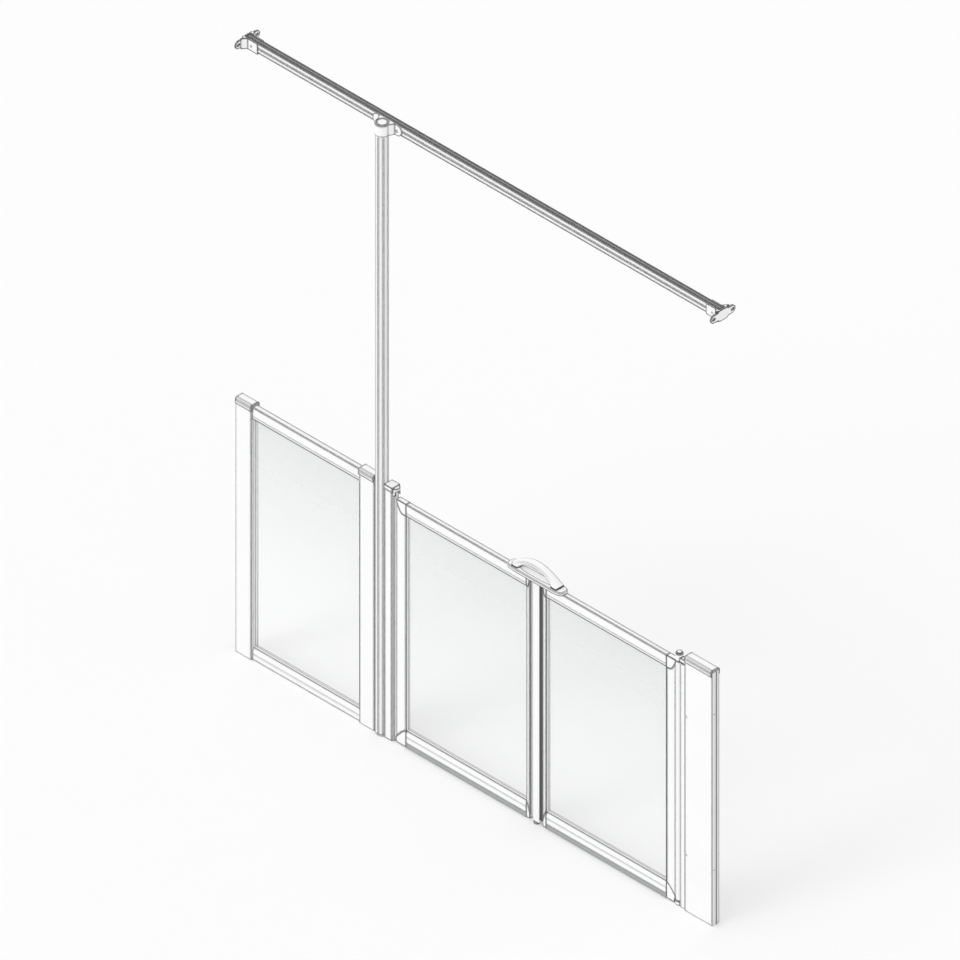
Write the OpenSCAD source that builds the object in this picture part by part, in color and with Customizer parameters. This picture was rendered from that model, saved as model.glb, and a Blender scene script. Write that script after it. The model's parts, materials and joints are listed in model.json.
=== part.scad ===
// Half-height carer shower screen: fixed panel, support pole with curtain rail, bi-fold door.
// X runs along the screen from the left wall, Y from the outside to the wet side, Z up from the floor.

/* [Overall] */
// Distance between the two walls
span_w = 1963; // [1800:1:2400]
// Height of the fixed panel's frame
panel_h = 900; // [700:5:1000]
// Height of the door leaves
door_h = 868; // [650:1:960]
// Centre height of the curtain rail
rail_z = 2160; // [1900:5:2300]

/* [Fixed panel] */
// Width of the post at the left wall
post_left_w = 65; // [50:1:90]
// Width of the glazed bay
bay_w = 445; // [250:1:600]
// Width of the post beside the pole
post_right_w = 61.5; // [45:0.5:90]
// Depth of the posts
post_d = 30; // [26:0.5:40]
// Depth of the rails between the posts
panel_rail_d = 20; // [14:0.5:24]
// Height of the top rails of the panel and the door
top_rail_h = 42; // [30:1:60]
// Height of the panel's bottom rail
bottom_rail_h = 43; // [34:1:80]
// Height of the slope on the upper edge of a bottom rail
slope_h = 11; // [6:1:20]
// Wall thickness of the aluminium sections
section_t = 1.8; // [1.2:0.1:3]
// Thickness of the glass
glass_t = 4; // [3:0.5:8]
// How deep the glass edge sits in a frame section
glass_bite = 6; // [4:0.5:9]
// Width of the gasket seen beside the glass
gasket_w = 3; // [2:0.5:6]
// Thickness of the gasket in front of the glass
gasket_t = 1.5; // [1:0.25:3]
// Height of the post caps above the post
cap_top_h = 9; // [5:0.5:16]
// Height of the skirt that hangs round the post under a cap
cap_skirt_h = 14; // [6:1:30]
// Thickness of the cap's walls
cap_t = 3; // [2:0.25:5]

/* [Pole and curtain rail] */
// Outer diameter of the support pole
pole_dia = 41; // [32:0.5:50]
// Wall thickness of the pole
pole_wall = 2; // [1.2:0.1:4]
// Number of shallow flutes round the pole
pole_flutes = 8; // [6:1:20]
// Turn of the first flute from the X axis
flute_turn = 10; // [0:1:45]
// Width of a flute
flute_w = 4; // [1:0.1:5]
// Depth of a flute
flute_depth = 0.8; // [0.3:0.1:1]
// How far the pole's axis stands behind the front of the posts
pole_y = 12; // [8:0.5:20]
// Height of the pole's plastic foot
foot_h = 6; // [3:0.5:20]
// How far below the collar the flutes end
flute_stop = 5; // [2:1:40]
// Height of the collar on top of the pole
collar_h = 40; // [28:1:60]
// Wall thickness of the collar
collar_wall = 2.5; // [2:0.1:5]
// Thickness of the collar's lid
collar_lid = 4; // [3:0.5:8]
// How far the pole stops below the lid
collar_recess = 2; // [0.5:0.5:8]
// Distance between the two ear screws of the collar
ear_pitch = 80; // [72:1:110]
// Half the width of the collar's web where it meets the plate on the rail
collar_web_half = 32; // [26:1:34]
// Height of the curtain rail section
rail_h = 36; // [28:1:50]
// Depth of the curtain rail section
rail_d = 20; // [16:0.5:30]
// Wall thickness of the curtain rail
rail_wall = 2; // [1.4:0.1:3]
// Height of the glider chamber in the lower part of the rail
chamber_h = 17; // [12:0.5:22]
// Width of the glider slot
slot_w = 7; // [5:0.5:10]
// Depth of the line along the rail's front
rail_line_depth = 1; // [0.5:0.1:1.5]
// Length of the wall plate of a rail bracket
plate_len = 102; // [90:1:130]
// Height of the wall plate
plate_h = 38; // [32:1:50]
// Thickness of the wall plate
plate_t = 5; // [3:0.5:8]
// Distance between the two slots of a wall plate
slot_pitch = 78; // [70:1:90]
// Radius of the rounded slot ends
slot_r = 2.75; // [2:0.05:4]
// Length of a wall slot from end to end
slot_len = 12; // [8:0.5:16]
// How far the socket of a bracket holds the rail
socket_len = 58; // [40:1:90]
// Wall thickness of the socket
socket_wall = 3; // [2:0.25:5]
// How far a bracket's gusset reaches along the rail
gusset_len = 13; // [6:1:30]
// Width of a gusset where it stands on the wall plate
gusset_w = 16; // [8:1:17]

/* [Door] */
// Width of the closing jamb beside the pole
jamb_w = 30; // [24:0.5:45]
// How far the closing jamb stands above the leaves
jamb_over = 24; // [16:1:60]
// Width of the leading leaf
leaf_lead_w = 550; // [350:1:750]
// Width of the hinged leaf
leaf_hinged_w = 550; // [350:1:750]
// Space between the two leaves, filled by the centre bar and its seals
centre_gap = 53; // [50:0.5:60]
// Width of the centre bar
bar_w = 24; // [18:0.5:25]
// How far the handle base stands out in front of the leaves
handle_over = 17; // [10:0.5:20]
// Thickness of the leaf frames
leaf_d = 18; // [15:0.5:24]
// Face width of the outer stiles
stile_outer_w = 40; // [32:1:55]
// Face width of the stiles beside the centre bar
stile_inner_w = 14; // [12:1:40]
// Height of the leaf bottom rail
leaf_bottom_h = 44; // [34:1:90]
// Height of the leaf frame above the floor, closed by the bottom seal
leaf_lift = 16; // [10:1:30]
// Gap between the bottom seal and the floor
floor_gap = 1.5; // [1:0.5:4]
// Gap between the corner pieces and the floor
corner_gap = 3; // [2:0.5:8]
// Gap between the centre bar and the floor, closed by its foot
bar_gap = 6; // [4:0.5:12]
// Radius of the tube on the hinge side
hinge_tube_r = 11; // [9:0.5:14]
// Radius of the pivot pins
pivot_pin_r = 5; // [3:0.25:6]
// How far a pivot pin reaches into its bush
pivot_reach = 22; // [12:1:40]
// Radius of the fold hinge pins
fold_pin_r = 1.5; // [1:0.1:1.8]
// Outer radius of the fold hinge knuckles
knuckle_r = 3.3; // [2.8:0.1:3.6]
// Number of knuckles along each fold hinge
knuckle_count = 9; // [5:2:15]
// Distance between the two fold hinge axes
fold_pitch = 40; // [36:0.5:44]
// Radius of the handle base's rounded corners
handle_corner_r = 18; // [8:1:22]
// Length of the handle base
handle_len = 228; // [180:1:260]
// Width of the handle base
handle_w = 45; // [36:1:50]
// Thickness of the handle base
handle_base_h = 11; // [8:0.5:16]
// Length of the arch on the base
arch_len = 206; // [160:1:215]
// Length of the hand hole under the arch
hole_len = 138; // [110:1:150]
// Height of the arch above the base
arch_h = 48; // [40:1:70]
// Height of the hand hole
hole_h = 33; // [26:1:50]
// Width of the arch
arch_w = 26; // [18:1:34]

/* [Right wall post] */
// Width of the post at the right wall
wall_post_w = 113.5; // [90:0.5:150]
// How far the wall post stands above the leaves
wall_post_over = 32; // [20:1:80]
// Space between the hinge tube's axis and the wall post
hinge_offset = 35.5; // [30:0.5:45]
// Depth that the wall channels reach into the posts
channel_reach = 34; // [24:1:44]
// Radius of the wall fixing holes
wall_hole_r = 2.6; // [2:0.1:4]
// Radius of the screw heads on the posts
head_r = 3.6; // [2.5:0.1:5]

/* [Fits] */
// Small gap between pieces that are assembled with play
play = 0.3; // [0.1:0.05:0.6]
// Radial running clearance of the pins
run = 0.05; // [0.02:0.01:0.09]
// Gap between the moving door and the fixed frame
door_gap = 2; // [1.5:0.25:4]

/* [Hidden] */
$fn = 48;
eps = 0.01;

white = [0.93, 0.94, 0.94];
plastic = [0.96, 0.96, 0.95];
grey_rubber = [0.45, 0.46, 0.47];
black_rubber = [0.08, 0.08, 0.09];
steel = [0.75, 0.76, 0.78];
glass_tint = [0.9, 0.94, 0.93, 0.5];

// Places along the screen, from the left wall
pole_gap = 0.5;
pole_r = pole_dia / 2;
magnet_t = 4;
magnet_gap = 0.5;
// How far the closing profile stands out of the jamb
closing_w = 6.5;
// How far the hinge tube is let into the side of the leaf
tube_bite = 6;
// What the walls leave beyond the named widths goes to the bay and the two leaves in equal shares
named_w = post_left_w + bay_w + post_right_w + pole_dia + 2 * pole_gap + jamb_w + closing_w
  + magnet_t + door_gap + leaf_lead_w + centre_gap + leaf_hinged_w + hinge_tube_r - tube_bite
  + hinge_offset + wall_post_w;
share_w = (span_w - named_w) / 3;
bay_x0 = post_left_w;
bay_x1 = bay_x0 + bay_w + share_w;
post_right_x1 = bay_x1 + post_right_w;
pole_x = post_right_x1 + pole_gap + pole_r;
jamb_x0 = pole_x + pole_r + pole_gap;
jamb_x1 = jamb_x0 + jamb_w;
closing_x = jamb_x1 + closing_w;
leaf_lead_x0 = closing_x + magnet_t + door_gap;
leaf_lead_x1 = leaf_lead_x0 + leaf_lead_w + share_w;
leaf_hinged_x0 = leaf_lead_x1 + centre_gap;
leaf_hinged_x1 = leaf_hinged_x0 + leaf_hinged_w + share_w;
hinge_x = leaf_hinged_x1 + hinge_tube_r - tube_bite;
wall_post_x0 = hinge_x + hinge_offset;

// Places from front to back
mid_y = post_d / 2;
leaf_y0 = mid_y - leaf_d / 2;
leaf_y1 = mid_y + leaf_d / 2;
glass_y0 = mid_y - glass_t / 2;
bar_mid_x = leaf_lead_x1 + centre_gap / 2;
bar_y0 = leaf_y0;
fold_back = 3.5;
fold_y = leaf_y1 + fold_back;
fold_x_lead = bar_mid_x - fold_pitch / 2;
fold_x_hinged = bar_mid_x + fold_pitch / 2;
collar_r = pole_r + collar_wall;
rail_y0 = pole_y + collar_r + 1;
rail_y = rail_y0 + rail_d / 2;
handle_front_y = leaf_y0 - handle_over;

// The whole screen is centred on the floor between its furthest sides
back_y = rail_y + plate_len / 2;
origin_y = (handle_front_y + back_y) / 2;
module placed() { translate([-span_w / 2, -origin_y, 0]) children(); }

// Upright places
lift_bottom_top = leaf_lift + leaf_bottom_h;
bar_top = door_h + 1;
handle_top_z = bar_top + handle_base_h;
rail_z0 = rail_z - rail_h / 2;
collar_top = rail_z0 + rail_h;
collar_z0 = collar_top - collar_h;
pole_top = collar_top - collar_lid - collar_recess;
jamb_top = door_h + jamb_over;
wall_post_top = door_h + wall_post_over;

module block(x, y, z) {
  translate([x[0], y[0], z[0]]) cube([x[1] - x[0], y[1] - y[0], z[1] - z[0]]);
}

// A section along X, drawn as depth and height
module along_x(x) { translate([x[0], 0, 0]) rotate([90, 0, 90]) linear_extrude(x[1] - x[0]) children(); }

// A square tube standing up
module upright_tube(x, y, z, t) {
  difference() {
    block(x, y, z);
    block([x[0] + t, x[1] - t], [y[0] + t, y[1] - t], [z[0] - 1, z[1] + 1]);
  }
}

module pin_z(x, y, z, r) { translate([x, y, z[0]]) cylinder(r = r, h = z[1] - z[0]); }

// A groove that takes the glass edge in the side of an upright
module upright_glass_groove(x_side, dir, z) {
  reach = glass_bite + play;
  block([min(x_side, x_side + dir * reach), max(x_side, x_side + dir * reach)],
    [glass_y0 - play, glass_y0 + glass_t + play], z);
}

// The section of a rail along X: a box with a glass groove in one edge
module rail_section(y, z, groove_at_top, slope) {
  front = y[0];
  back = y[1];
  groove_z = groove_at_top ? z[1] - glass_bite - play : z[0] - eps;
  hollow = groove_at_top ? [z[0] + section_t, z[1] - slope - glass_bite - 2 * section_t]
    : [z[0] + glass_bite + 2 * section_t, z[1] - section_t];
  lip = glass_y0 - gasket_t - play;
  difference() {
    polygon(slope > 0
      ? [[front, z[0]], [back, z[0]], [back, z[1]], [lip, z[1]], [front, z[1] - slope]]
      : [[front, z[0]], [back, z[0]], [back, z[1]], [front, z[1]]]);
    translate([glass_y0 - play, groove_z])
      square([glass_t + 2 * play, glass_bite + play + eps]);
    translate([front + section_t, hollow[0]])
      square([back - front - 2 * section_t, hollow[1] - hollow[0]]);
  }
}

// Glass sheet and the gasket that frames its face
module glass_sheet(x, z) {
  block([x[0] - glass_bite, x[1] + glass_bite], [glass_y0, glass_y0 + glass_t],
    [z[0] - glass_bite, z[1] + glass_bite]);
}

module gasket_frame(x, z) {
  for (y = [glass_y0 - gasket_t, glass_y0 + glass_t])
    difference() {
      block(x, [y, y + gasket_t], z);
      block([x[0] + gasket_w, x[1] - gasket_w], [y - 1, y + gasket_t + 1],
        [z[0] + gasket_w, z[1] - gasket_w]);
    }
}

// A cap that closes a post: rounded along the front and hanging round it as a skirt. A side that is
// open has no skirt, and a notch lets a rail into the post under the cap.
module post_cap(x, y, z_top, open_left = false, open_right = false, notch_y = []) {
  out = cap_t;
  x_start = open_left ? x[0] : x[0] - out;
  x_end = open_right ? x[1] : x[1] + out;
  round_r = cap_top_h - cap_t / 2;
  difference() {
    translate([x_start, 0, 0])
      rotate([90, 0, 90])
        linear_extrude(x_end - x_start)
          union() {
            translate([y[0] - out, z_top - cap_skirt_h])
              square([y[1] - y[0] + 2 * out, cap_skirt_h + cap_top_h - round_r]);
            translate([y[0] - out + round_r, z_top])
              square([y[1] - y[0] + 2 * out - 2 * round_r, cap_top_h]);
            for (yy = [y[0] - out + round_r, y[1] + out - round_r])
              translate([yy, z_top + cap_top_h - round_r]) circle(r = round_r);
          }
    block([x[0] - (open_left ? 1 : play), x[1] + (open_right ? 1 : play)],
      [y[0] - play, y[1] + play], [z_top - cap_skirt_h - 1, z_top]);
    if (len(notch_y) > 0)
      block([x[0] - out - 1, x[1] + out + 1], notch_y, [z_top - cap_skirt_h - 1, z_top]);
  }
}

// The U section fixed to a wall, with its web on the wall and its legs inside the post
module wall_channel(x_wall, dir, top) {
  x_end = x_wall + dir * channel_reach;
  xs = [min(x_wall, x_end), max(x_wall, x_end)];
  inset = section_t + play;
  web = [min(x_wall, x_wall + dir * 3), max(x_wall, x_wall + dir * 3)];
  difference() {
    union() {
      for (y = [inset, post_d - inset - section_t]) block(xs, [y, y + section_t], [0, top]);
      block(web, [inset, post_d - inset], [0, top]);
    }
    // Stepped recess for sealant along the wet half of the web
    block([x_wall - 1.2, x_wall + 1.2], [mid_y, post_d - inset - section_t], [-1, top + 1]);
    for (z = wall_hole_z)
      translate([x_wall - 6, wall_hole_y, z]) rotate([0, 90, 0]) cylinder(r = wall_hole_r, h = 12);
  }
}
wall_hole_z = [196, 751];
wall_hole_y = 8.5;

module wall_channel_left() { color(steel) placed() wall_channel(0, 1, panel_h); }
module wall_channel_right() { color(steel) placed() wall_channel(span_w, -1, wall_post_top); }

module panel_post_left() {
  color(white) placed() difference() {
    upright_tube([0, bay_x0], [0, post_d], [0, panel_h], section_t);
    block([-1, section_t + 1], [section_t, post_d - section_t], [-1, panel_h + 1]);
    upright_glass_groove(bay_x0, -1, [0, panel_h]);
  }
}

module panel_post_right() {
  color(white) placed() difference() {
    upright_tube([bay_x1, post_right_x1], [0, post_d], [0, panel_h], section_t);
    upright_glass_groove(bay_x1, 1, [0, panel_h]);
  }
}

panel_rail_y = [mid_y - panel_rail_d / 2, mid_y + panel_rail_d / 2];
panel_open_z = [bottom_rail_h, panel_h - top_rail_h];

module panel_top_rail() {
  color(white) placed() along_x([bay_x0, bay_x1])
    rail_section(panel_rail_y, [panel_open_z[1], panel_h], false, 0);
}

module panel_bottom_rail() {
  color(white) placed() along_x([bay_x0, bay_x1])
    rail_section(panel_rail_y, [0, bottom_rail_h], true, slope_h);
}

module panel_glass() {
  color(glass_tint) placed() glass_sheet([bay_x0, bay_x1], panel_open_z);
}

module panel_gasket() {
  color(grey_rubber) placed() gasket_frame([bay_x0, bay_x1], panel_open_z);
}

panel_notch_y = [panel_rail_y[0] - play, panel_rail_y[1] + play];

module post_cap_left() {
  color(plastic) placed()
    post_cap([0, bay_x0], [0, post_d], panel_h, open_left = true, notch_y = panel_notch_y);
}

module post_cap_middle() {
  color(plastic) placed()
    post_cap([bay_x1, post_right_x1], [0, post_d], panel_h, open_right = true, notch_y = panel_notch_y);
}

module support_pole() {
  color(white) placed() difference() {
    pin_z(pole_x, pole_y, [foot_h, pole_top], pole_r);
    pin_z(pole_x, pole_y, [foot_h - 1, pole_top + 1], pole_r - pole_wall);
    for (i = [0 : pole_flutes - 1])
      translate([pole_x, pole_y, foot_h - 1]) rotate([0, 0, flute_turn + i * 360 / pole_flutes])
        translate([pole_r - flute_depth, -flute_w / 2, 0])
          cube([2 * flute_depth, flute_w, collar_z0 - flute_stop - foot_h + 1]);
  }
}

module pole_foot() {
  color(plastic) placed() union() {
    pin_z(pole_x, pole_y, [0, foot_h], pole_r - play);
    pin_z(pole_x, pole_y, [foot_h - eps, foot_h + 16], pole_r - pole_wall - play);
  }
}

// The collar is a lidded cup on the pole's top. A web joins it to a plate with rounded ends, which
// two screws hold on the rail's front.
ear_t = 4;
ear_r = collar_h / 2;
ear_screw_r = 2.2;
ear_z = collar_z0 + ear_r - 4;
ear_x = [pole_x - ear_pitch / 2, pole_x + ear_pitch / 2];
plate_y = [rail_y0 - ear_t, rail_y0];
web_reach = collar_r - 1;
lid_ring_r = [16, 19.5];
lid_ring_depth = 2;
module pole_collar() {
  color(plastic) placed() difference() {
    union() {
      pin_z(pole_x, pole_y, [collar_z0, collar_top], collar_r);
      block(ear_x, plate_y, [collar_z0, collar_top]);
      for (x = ear_x)
        translate([x, rail_y0, collar_z0 + ear_r]) rotate([90, 0, 0]) cylinder(r = ear_r, h = ear_t);
      translate([pole_x, pole_y, collar_z0]) linear_extrude(collar_h)
        polygon([[-web_reach, 0], [web_reach, 0], [collar_web_half, plate_y[0] - pole_y + eps],
          [-collar_web_half, plate_y[0] - pole_y + eps]]);
    }
    pin_z(pole_x, pole_y, [collar_z0 - 1, collar_top - collar_lid], pole_r + run);
    // Ring line round the lid
    difference() {
      pin_z(pole_x, pole_y, [collar_top - lid_ring_depth, collar_top + 1], lid_ring_r[1]);
      pin_z(pole_x, pole_y, [collar_top - lid_ring_depth - 1, collar_top + 2], lid_ring_r[0]);
    }
    for (x = ear_x)
      translate([x, rail_y0 + 1, ear_z]) rotate([90, 0, 0]) cylinder(r = ear_screw_r, h = ear_t + 2);
  }
}

module screw_head_front(x, y, z, r, h) {
  translate([x, y, z]) rotate([90, 0, 0]) difference() {
    cylinder(r = r, h = h);
    translate([-r, -0.5, h - 0.8]) cube([2 * r, 1, 2]);
  }
}

module collar_screws() {
  color(steel) placed() union() {
    for (x = ear_x) {
      screw_head_front(x, plate_y[0], ear_z, 4, 2.2);
      translate([x, rail_y0 + 1.5, ear_z]) rotate([90, 0, 0]) cylinder(r = ear_screw_r, h = ear_t + 2);
    }
    translate([pole_x - collar_r * cos(30), pole_y - collar_r * sin(30), ear_z])
      rotate([0, -90, 30]) cylinder(r = 2.6, h = 1.2);
  }
}

rail_x = [plate_t + 1, span_w - plate_t - 1];
module curtain_rail() {
  color(white) placed() difference() {
    rail_extrusion();
    for (x = ear_x)
      translate([x, rail_y0 + 3, ear_z]) rotate([90, 0, 0]) cylinder(r = ear_screw_r, h = 4);
  }
}

module rail_extrusion() {
  along_x(rail_x) difference() {
    translate([rail_y0, rail_z0]) square([rail_d, rail_h]);
    translate([rail_y0 + rail_wall, rail_z0 + rail_wall])
      square([rail_d - 2 * rail_wall, chamber_h - rail_wall]);
    translate([rail_y - slot_w / 2, rail_z0 - 1]) square([slot_w, rail_wall + 2]);
    translate([rail_y0 + rail_wall, rail_z0 + chamber_h + rail_wall])
      square([rail_d - 2 * rail_wall, rail_h - chamber_h - 2 * rail_wall]);
    // Shadow lines along the front and in the top
    translate([rail_y0 - 1, rail_z0 + chamber_h - 0.6]) square([1 + rail_line_depth, 1.2]);
    for (y = [rail_y - 5, rail_y + 3])
      translate([y, rail_z0 + rail_h - rail_line_depth]) square([2, 2]);
  }
}

// Wall bracket of the rail: a lobed plate with two slots, and two cheeks that hold the rail from the
// sides and from below, each with a gusset on the plate
module rail_bracket(x_wall, dir) {
  plate = [min(x_wall, x_wall + dir * plate_t), max(x_wall, x_wall + dir * plate_t)];
  sock = [min(x_wall, x_wall + dir * socket_len), max(x_wall, x_wall + dir * socket_len)];
  lobe_r = plate_h / 2 - 5;
  inner = rail_d / 2 + play;
  outer = inner + socket_wall;
  difference() {
    union() {
      block(plate, [rail_y - slot_pitch / 2, rail_y + slot_pitch / 2],
        [rail_z - lobe_r, rail_z + lobe_r]);
      for (side = [-1, 1])
        translate([plate[0], rail_y + side * (plate_len / 2 - lobe_r), rail_z])
          rotate([0, 90, 0]) cylinder(r = lobe_r, h = plate_t);
      block(plate, [rail_y - outer - 6, rail_y + outer + 6],
        [rail_z - plate_h / 2, rail_z + plate_h / 2]);
      block(sock, [rail_y - outer, rail_y + outer],
        [rail_z0 - play - socket_wall + 1, rail_z0 + rail_h]);
      for (side = [-1, 1])
        translate([x_wall + dir * plate_t, rail_y + side * outer, rail_z - plate_h / 2])
          linear_extrude(plate_h)
            polygon([[-dir, 0], [-dir, side * gusset_w], [0, side * gusset_w], [dir * gusset_len, 0],
              [dir * gusset_len, -side], [-dir, -side]]);
    }
    block([sock[0] + (dir > 0 ? plate_t : -1), sock[1] + (dir > 0 ? 1 : -plate_t)],
      [rail_y - inner, rail_y + inner], [rail_z0 - play, rail_z0 + rail_h + 10]);
    // The socket is open below for the gliders
    block([sock[0] + (dir > 0 ? plate_t : -1), sock[1] + (dir > 0 ? 1 : -plate_t)],
      [rail_y - slot_w / 2 - 1, rail_y + slot_w / 2 + 1], [rail_z0 - 10, rail_z0]);
    for (side = [-1, 1])
      translate([plate[0] - 1, rail_y + side * slot_pitch / 2, rail_z]) union() {
        for (end = [-1, 1])
          translate([0, end * (slot_len / 2 - slot_r), 0]) rotate([0, 90, 0])
            cylinder(r = slot_r, h = plate_t + 2);
        translate([0, slot_r - slot_len / 2, -slot_r])
          cube([plate_t + 2, slot_len - 2 * slot_r, 2 * slot_r]);
      }
  }
}

module rail_bracket_left() { color(plastic) placed() rail_bracket(0, 1); }
module rail_bracket_right() { color(plastic) placed() rail_bracket(span_w, -1); }

socket_front = rail_y0 - play - socket_wall;
module rail_bracket_screws() {
  color(steel) placed() for (x = [socket_len * 0.55, span_w - socket_len * 0.55])
    screw_head_front(x, socket_front, rail_z - 3, 4.2, 2);
}

// Closing jamb beside the pole, with the profile that the door closes on
profile_half = 8;
profile_bulge_r = 9;
module closing_jamb() {
  color(white) placed() upright_tube([jamb_x0, jamb_x1], [0, post_d], [0, jamb_top], section_t);
}

module closing_profile() {
  color(white) placed() difference() {
    union() {
      block([jamb_x1, closing_x], [mid_y - profile_half, mid_y + profile_half], [0, jamb_top]);
      pin_z(jamb_x1, mid_y, [0, jamb_top], profile_bulge_r);
    }
    block([jamb_x1 - 20, jamb_x1], [-1, post_d + 1], [-1, jamb_top + 1]);
    block([closing_x - 1, closing_x + 20], [-1, post_d + 1], [-1, jamb_top + 1]);
  }
}

// The cap of the jamb, with a round nose over the closing profile
jamb_cap_z = [jamb_top - 6, jamb_top + 12];
jamb_cap_over = 2;
cap_nose_r = 13;
module jamb_cap() {
  color(plastic) placed() difference() {
    union() {
      block([jamb_x0, jamb_x1 + 3], [-jamb_cap_over, post_d + jamb_cap_over], jamb_cap_z);
      pin_z(jamb_x1 + 3, mid_y, [jamb_cap_z[0] - 10, jamb_cap_z[1] - 2], cap_nose_r);
    }
    block([jamb_x0 - 1, jamb_x1 + play], [-play, post_d + play], [0, jamb_top]);
    pin_z(jamb_x1, mid_y, [0, jamb_top], profile_bulge_r + play);
    block([jamb_x1, jamb_x1 + 30], [mid_y - profile_half - play, mid_y + profile_half + play],
      [0, jamb_top]);
  }
}

// Magnetic strips of the jamb and of the leading leaf
magnet_half = 5;
jamb_magnet_z = [20, jamb_cap_z[0] - 24];
module jamb_magnet() {
  color(grey_rubber) placed()
    block([closing_x - 1, closing_x + magnet_t], [mid_y - magnet_half, mid_y + magnet_half], jamb_magnet_z);
}

module wall_post_right() {
  color(white) placed() difference() {
    upright_tube([wall_post_x0, span_w], [0, post_d], [0, wall_post_top], section_t);
    block([span_w - section_t - 1, span_w + 1], [section_t, post_d - section_t],
      [-1, wall_post_top + 1]);
  }
}

module wall_post_cap() {
  color(plastic) placed()
    post_cap([wall_post_x0, span_w], [0, post_d], wall_post_top, open_left = true,
      open_right = true);
}

wall_screw_z = [202, 694];
module wall_post_screws() {
  color(steel) placed() for (z = wall_screw_z)
    screw_head_front(wall_post_x0 + 8, 0, z, head_r, 1);
}

// The fixed side of the door hinge: a profile on the wall post that carries the pivots
hinge_profile_x0 = hinge_x + hinge_tube_r + 1.5;
hinge_profile_half = 11;
pivot_r = 12;
pivot_arm_half = 8;
pivot_block_h = 14;
pivot_floor_t = 3;
pivot_cap_z = [door_h + 2, door_h + 26];
pivot_dome_h = 5;
pin_top = pivot_cap_z[0] + 18;
module hinge_profile() {
  color(white) placed()
    upright_tube([hinge_profile_x0, wall_post_x0],
      [mid_y - hinge_profile_half, mid_y + hinge_profile_half], [0, pivot_cap_z[0]], section_t);
}

module pivot_block_bottom() {
  color(plastic) placed() difference() {
    union() {
      pin_z(hinge_x, mid_y, [0, pivot_block_h], pivot_r);
      block([hinge_x, hinge_profile_x0 - play / 2], [mid_y - pivot_arm_half, mid_y + pivot_arm_half],
        [0, pivot_block_h]);
    }
    pin_z(hinge_x, mid_y, [pivot_floor_t, pivot_block_h + 1], pivot_pin_r);
  }
}

module pivot_cap_top() {
  color(plastic) placed() difference() {
    union() {
      pin_z(hinge_x, mid_y, pivot_cap_z, pivot_r);
      pin_z(hinge_x, mid_y, [pivot_cap_z[1], pivot_cap_z[1] + pivot_dome_h], pivot_r - 2.5);
      block([hinge_x, wall_post_x0 - play], [mid_y - pivot_arm_half, mid_y + pivot_arm_half],
        [pivot_cap_z[0], pivot_cap_z[0] + pivot_block_h]);
    }
    pin_z(hinge_x, mid_y, [pivot_cap_z[0] - 1, pin_top], pivot_pin_r);
  }
}

module pivot_pins() {
  color(steel) placed() union() {
    pin_z(hinge_x, mid_y, [pivot_floor_t, leaf_lift + pivot_reach], pivot_pin_r);
    pin_z(hinge_x, mid_y, [door_h - pivot_reach, pin_top], pivot_pin_r);
  }
}

// Plastic corner of a leaf, drawn from its outer top corner with x inwards and z down. A top corner
// bulges towards the stile, and a bottom corner has a straighter slope and reaches past the seal.
corner_foot_h = lift_bottom_top - corner_gap;
module corner_shape(w, h, is_foot) {
  polygon(is_foot
    ? [[0, 0], [w, 0], [w, -h], [w * 0.85, -h * 0.98], [w * 0.5, -h * 0.76], [0, -h * 0.34]]
    : [[0, 0], [w, 0], [w, -h], [w * 0.62, -h], [w * 0.38, -h * 0.82], [0, -h * 0.12]]);
}

module top_corner(x, on_right, w) { corner(x, on_right, door_h, false, w, top_rail_h); }
module bottom_corner(x, on_right, w) { corner(x, on_right, corner_gap, true, w, corner_foot_h); }

module corner(x, flip_x, z, is_foot, w, h) {
  translate([x, leaf_y1, z]) mirror([flip_x ? 1 : 0, 0, 0]) mirror([0, 0, is_foot ? 1 : 0])
    rotate([90, 0, 0]) linear_extrude(leaf_d) corner_shape(w, h, is_foot);
}

module leaf_corners(x, outer_left) {
  w_left = outer_left ? stile_outer_w : stile_inner_w;
  w_right = outer_left ? stile_inner_w : stile_outer_w;
  difference() {
    union() {
      top_corner(x[0], false, w_left);
      top_corner(x[1], true, w_right);
      bottom_corner(x[0], false, w_left);
      bottom_corner(x[1], true, w_right);
    }
    glass_sheet([x[0] + w_left - play, x[1] - w_right + play],
      [lift_bottom_top - play, door_h - top_rail_h + play]);
  }
}

// A leaf's upright, from its outer face to the glass side, cut away for its two corner pieces
module leaf_stile(x, is_left) {
  edge = is_left ? x[0] : x[1];
  difference() {
    upright_tube(x, [leaf_y0, leaf_y1], [leaf_lift, door_h], section_t);
    upright_glass_groove(is_left ? x[1] : x[0], is_left ? -1 : 1, [0, door_h + 1]);
    for (shift = [-0.5, 0.5])
      translate([0, shift, 0]) {
        top_corner(edge, !is_left, x[1] - x[0]);
        bottom_corner(edge, !is_left, x[1] - x[0]);
      }
  }
}

// Sizes of the two leaves from left to right
lead_x = [leaf_lead_x0, leaf_lead_x1];
hinged_x = [leaf_hinged_x0, leaf_hinged_x1];
leaf_y = [leaf_y0, leaf_y1];
leaf_open_z = [lift_bottom_top, door_h - top_rail_h];
lead_open_x = [lead_x[0] + stile_outer_w, lead_x[1] - stile_inner_w];
hinged_open_x = [hinged_x[0] + stile_inner_w, hinged_x[1] - stile_outer_w];

module leaf_top_rail(open_x) {
  along_x(open_x) rail_section(leaf_y, [leaf_open_z[1], door_h], false, 0);
}

module leaf_bottom_rail(open_x) {
  along_x(open_x) rail_section(leaf_y, [leaf_lift, leaf_open_z[0]], true, slope_h);
}

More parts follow.
